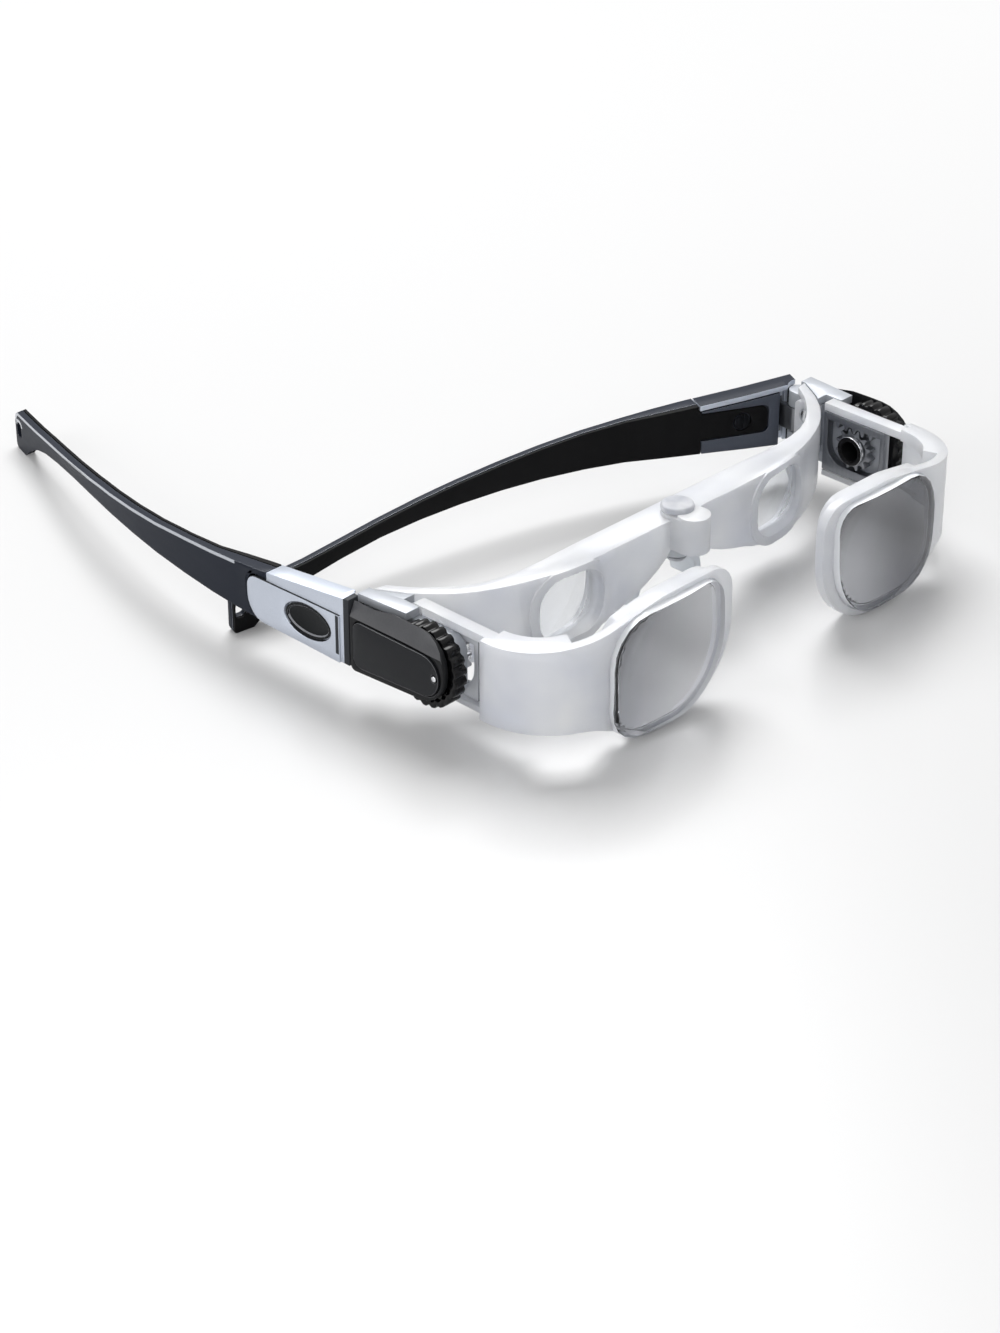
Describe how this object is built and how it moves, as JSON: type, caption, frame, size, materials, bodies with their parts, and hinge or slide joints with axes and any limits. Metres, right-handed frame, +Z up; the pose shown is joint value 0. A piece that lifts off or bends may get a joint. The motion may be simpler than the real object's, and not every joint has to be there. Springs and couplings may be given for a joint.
{
  "type": "binocular glasses",
  "caption": "Spectacle-style binocular glasses with a focusing objective before each eyepiece, knurled side wheels and folding curved temples.",
  "frame": {"origin": "centre of the flat top of the nose post, on the plane of symmetry above the bridge", "axes": "+X towards the wearer's left, +Y back along the temples, +Z up; the wearer looks along -Y"},
  "size_m": [0.1405, 0.1854, 0.0287],
  "materials": {
    "frosted_frame": "frosted translucent moulding, satin",
    "soft_saddle": "soft translucent elastomer",
    "lens": "clear polished, coated",
    "gunmetal": "dark satin",
    "steel": "bright",
    "wheel_black": "gloss black",
    "housing_silver": "satin light grey",
    "cover_charcoal": "satin charcoal",
    "silver": "satin silver blue lacquer",
    "slate": "satin metallic slate lacquer",
    "liner_rubber": "matt black"
  },
  "bodies": {
    "frame": {"eyepiece_frame": "frosted_frame", "nose_post": "frosted_frame", "nose_saddle": "soft_saddle", "left_eyepiece_lens": "lens", "left_end_piece": "housing_silver", "left_frame_screw_upper": "steel", "left_frame_screw_lower": "steel", "left_side_cover": "cover_charcoal", "left_badge_plate": "cover_charcoal", "left_index_dot": "steel", "left_hinge_pin": "steel", "right_eyepiece_lens": "lens", "right_end_piece": "housing_silver", "right_frame_screw_upper": "steel", "right_frame_screw_lower": "steel", "right_side_cover": "cover_charcoal", "right_badge_plate": "cover_charcoal", "right_index_dot": "steel", "right_hinge_pin": "steel"},
    "left_wheel": {"left_focus_wheel": "wheel_black", "left_focus_pinion": "gunmetal", "left_focus_axle": "steel"},
    "left_objective": {"left_objective_carrier": "frosted_frame", "left_objective_lens": "lens", "left_focus_slide": "gunmetal"},
    "left_temple": {"left_hinge_leaf": "gunmetal", "left_hinge_block": "silver", "left_block_inset": "gunmetal", "left_temple_arm": "slate", "left_temple_liner": "liner_rubber", "left_temple_screw": "steel"},
    "right_wheel": {"right_focus_wheel": "wheel_black", "right_focus_pinion": "gunmetal", "right_focus_axle": "steel"},
    "right_objective": {"right_objective_carrier": "frosted_frame", "right_objective_lens": "lens", "right_focus_slide": "gunmetal"},
    "right_temple": {"right_hinge_leaf": "gunmetal", "right_hinge_block": "silver", "right_block_inset": "gunmetal", "right_temple_arm": "slate", "right_temple_liner": "liner_rubber", "right_temple_screw": "steel"}
  },
  "joints": [
    {"name": "left_focus", "type": "hinge", "parent": "frame", "child": "left_wheel", "pos_m": [0.066, 0.0031, -0.0108], "axis": [1, 0, 0], "range_deg": [-30, 30]},
    {"name": "left_objective_slide", "type": "slide", "parent": "frame", "child": "left_objective", "axis": [0, -1, 0], "range_m": [-0.002, 0.002]},
    {"name": "left_temple_fold", "type": "hinge", "parent": "frame", "child": "left_temple", "pos_m": [0.064, 0.022, -0.0112], "axis": [0, 0, 1], "range_deg": [-66.9, 5]},
    {"name": "right_focus", "type": "hinge", "parent": "frame", "child": "right_wheel", "pos_m": [-0.066, 0.0031, -0.0108], "axis": [1, 0, 0], "range_deg": [-30, 30]},
    {"name": "right_objective_slide", "type": "slide", "parent": "frame", "child": "right_objective", "axis": [0, -1, 0], "range_m": [-0.002, 0.002]},
    {"name": "right_temple_fold", "type": "hinge", "parent": "frame", "child": "right_temple", "pos_m": [-0.064, 0.022, -0.0112], "axis": [0, 0, -1], "range_deg": [-2, 20]}
  ],
  "couplings": [
    {"joint": "left_focus", "follows": "left_objective_slide", "rad_per_m": 238.1},
    {"joint": "right_focus", "follows": "right_objective_slide", "rad_per_m": 238.1}
  ]
}
